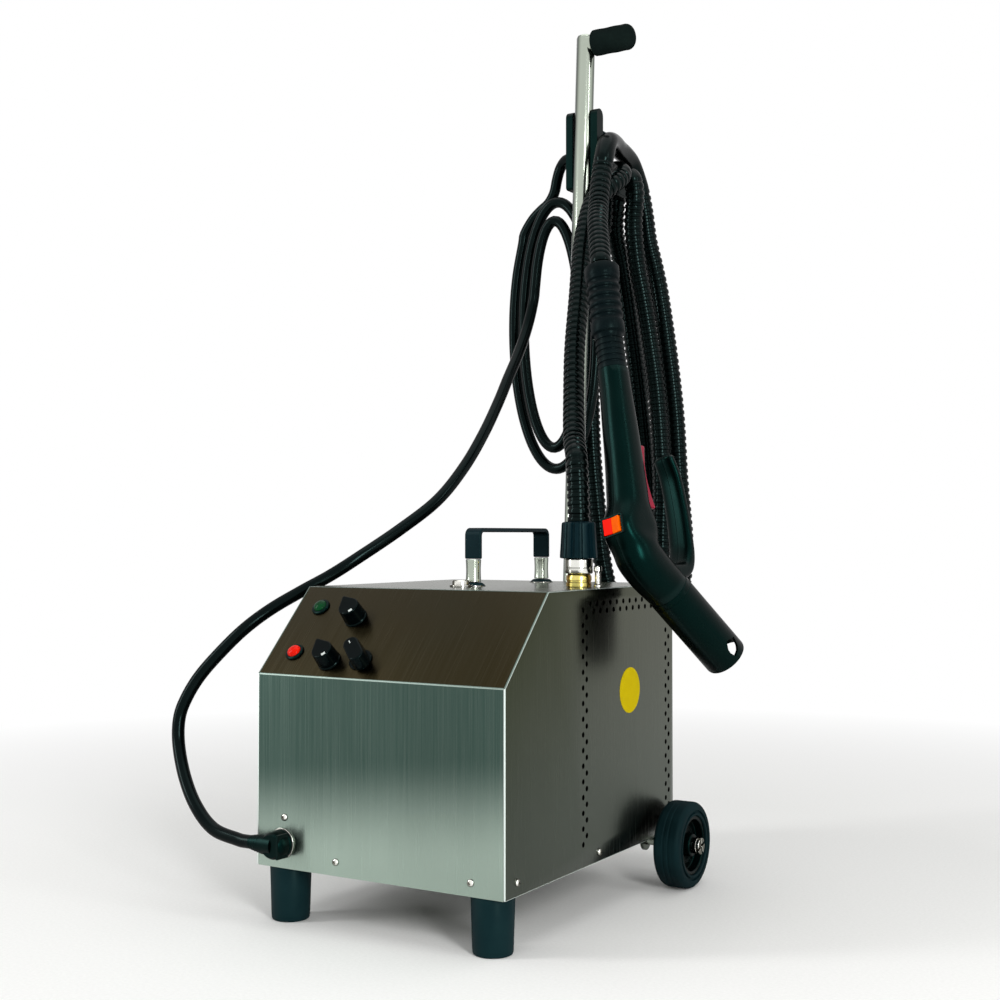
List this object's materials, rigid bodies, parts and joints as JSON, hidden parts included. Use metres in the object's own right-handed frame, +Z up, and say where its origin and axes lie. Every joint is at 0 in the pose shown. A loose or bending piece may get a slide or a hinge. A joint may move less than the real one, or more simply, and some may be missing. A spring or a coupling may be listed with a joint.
{
  "type": "steam cleaner",
  "caption": "Wheeled box-shaped steam cleaner with a sloping control panel, carry handle, push post with hooks, corrugated steam hose with a trigger gun, and a hanging mains lead",
  "frame": {"origin": "on the floor under the middle of the object without its hose and lead", "axes": "+Z up, the front with the control slope looks along -Y, +X to the right of someone who faces the rear, on the gun's side"},
  "size_m": [0.5004, 0.6203, 0.972],
  "materials": {
    "brushed_steel": "brushed stainless sheet, satin",
    "bright_steel": "polished stainless steel",
    "brass": "turned and polished brass",
    "black_rubber": "moulded black rubber, matte",
    "black_plastic": "moulded black nylon, fine grain",
    "hose_plastic": "corrugated black hose, half-matte",
    "cord_pvc": "black PVC cord sheath, half-gloss",
    "grip_foam": "moulded black foam rubber",
    "tyre_rubber": "solid black rubber tyre",
    "dark_metal": "black painted or oxidised metal",
    "lens_green": "clear-faced green lamp lens",
    "lens_red": "clear-faced red lamp lens",
    "trigger_red": "moulded dark red plastic",
    "rocker_orange": "moulded orange plastic"
  },
  "bodies": {
    "cleaner": {"base_tray": "brushed_steel", "front_panel": "brushed_steel", "top_panel": "brushed_steel", "side_panel_left": "brushed_steel", "side_panel_right": "brushed_steel", "rear_panel": "brushed_steel", "foot_left": "black_rubber", "foot_right": "black_rubber", "wheel_axle": "bright_steel", "axle_nut_left": "bright_steel", "axle_nut_right": "bright_steel", "push_post": "bright_steel", "push_grip": "grip_foam", "post_clamp_lower": "black_plastic", "post_clamp_upper": "black_plastic", "hook_bracket": "black_plastic", "hook_keeper": "black_rubber", "carry_grip": "black_plastic", "carry_ferrule_front": "bright_steel", "carry_ferrule_rear": "bright_steel", "carry_washer_front": "black_rubber", "carry_washer_rear": "black_rubber", "outlet_body": "brass", "outlet_collar": "bright_steel", "relief_pin": "bright_steel", "filler_cap": "bright_steel", "lamp_green_bezel": "black_plastic", "lamp_green_lens": "lens_green", "lamp_red_bezel": "black_plastic", "lamp_red_lens": "lens_red", "switch_body_steam": "black_plastic", "switch_body_water": "black_plastic", "switch_body_mode": "black_plastic", "cable_gland": "black_rubber", "mains_lead": "cord_pvc", "mains_coil": "cord_pvc", "mains_tail": "cord_pvc", "mains_plug": "black_rubber", "gun_shell_left": "black_plastic", "gun_shell_right": "black_plastic", "gun_barrel": "black_plastic", "bend_protector": "black_rubber", "steam_hose": "hose_plastic", "boiler_tank": "bright_steel", "heater_flange": "bright_steel", "boiler_saddle_front": "brushed_steel", "boiler_saddle_rear": "brushed_steel", "solenoid_valve": "dark_metal", "steam_pipe": "brass", "pressure_switch": "dark_metal"},
    "wheel_left": {"tyre_left": "tyre_rubber", "wheel_hub_left": "black_plastic"},
    "wheel_right": {"tyre_right": "tyre_rubber", "wheel_hub_right": "black_plastic"},
    "coupling": {"coupling_nut": "black_plastic"},
    "steam_knob": {"knob_steam": "black_plastic"},
    "water_knob": {"knob_water": "black_plastic"},
    "mode_knob": {"knob_mode": "black_plastic"},
    "trigger": {"gun_trigger": "trigger_red"},
    "rocker": {"gun_switch": "rocker_orange"}
  },
  "joints": [
    {"name": "wheel_left_spin", "type": "hinge", "parent": "cleaner", "child": "wheel_left", "pos_m": [-0.18893, 0.06982, 0.045], "axis": [1, 0, 0], "continuous": true},
    {"name": "wheel_right_spin", "type": "hinge", "parent": "cleaner", "child": "wheel_right", "pos_m": [0.13607, 0.06982, 0.045], "axis": [1, 0, 0], "continuous": true},
    {"name": "coupling_turn", "type": "hinge", "parent": "cleaner", "child": "coupling", "pos_m": [0.07857, -0.05518, 0.3489], "axis": [0, 0, 1], "range_deg": [0, 360]},
    {"name": "steam_knob_turn", "type": "hinge", "parent": "cleaner", "child": "steam_knob", "pos_m": [-0.08643, -0.20884, 0.29129], "axis": [0, -0.7202, 0.6938], "range_deg": [-180, 90]},
    {"name": "water_knob_turn", "type": "hinge", "parent": "cleaner", "child": "water_knob", "pos_m": [-0.08943, -0.24665, 0.25204], "axis": [0, -0.7202, 0.6938], "range_deg": [-180, 90]},
    {"name": "mode_knob_turn", "type": "hinge", "parent": "cleaner", "child": "mode_knob", "pos_m": [-0.05393, -0.24457, 0.2542], "axis": [0, -0.7202, 0.6938], "range_deg": [-90, 0]},
    {"name": "trigger_swing", "type": "hinge", "parent": "cleaner", "child": "trigger", "pos_m": [0.11439, 0.00179, 0.46154], "axis": [-0.9383, 0.2135, -0.272], "range_deg": [0, 10], "stiffness_Nm_per_rad": 0.25, "springref_deg": -17.19},
    {"name": "rocker_swing", "type": "hinge", "parent": "cleaner", "child": "rocker", "pos_m": [0.12211, -0.06618, 0.38156], "axis": [0.2307, -0.1993, -0.9524], "range_deg": [-8, 8], "stiffness_Nm_per_rad": 0.05}
  ]
}
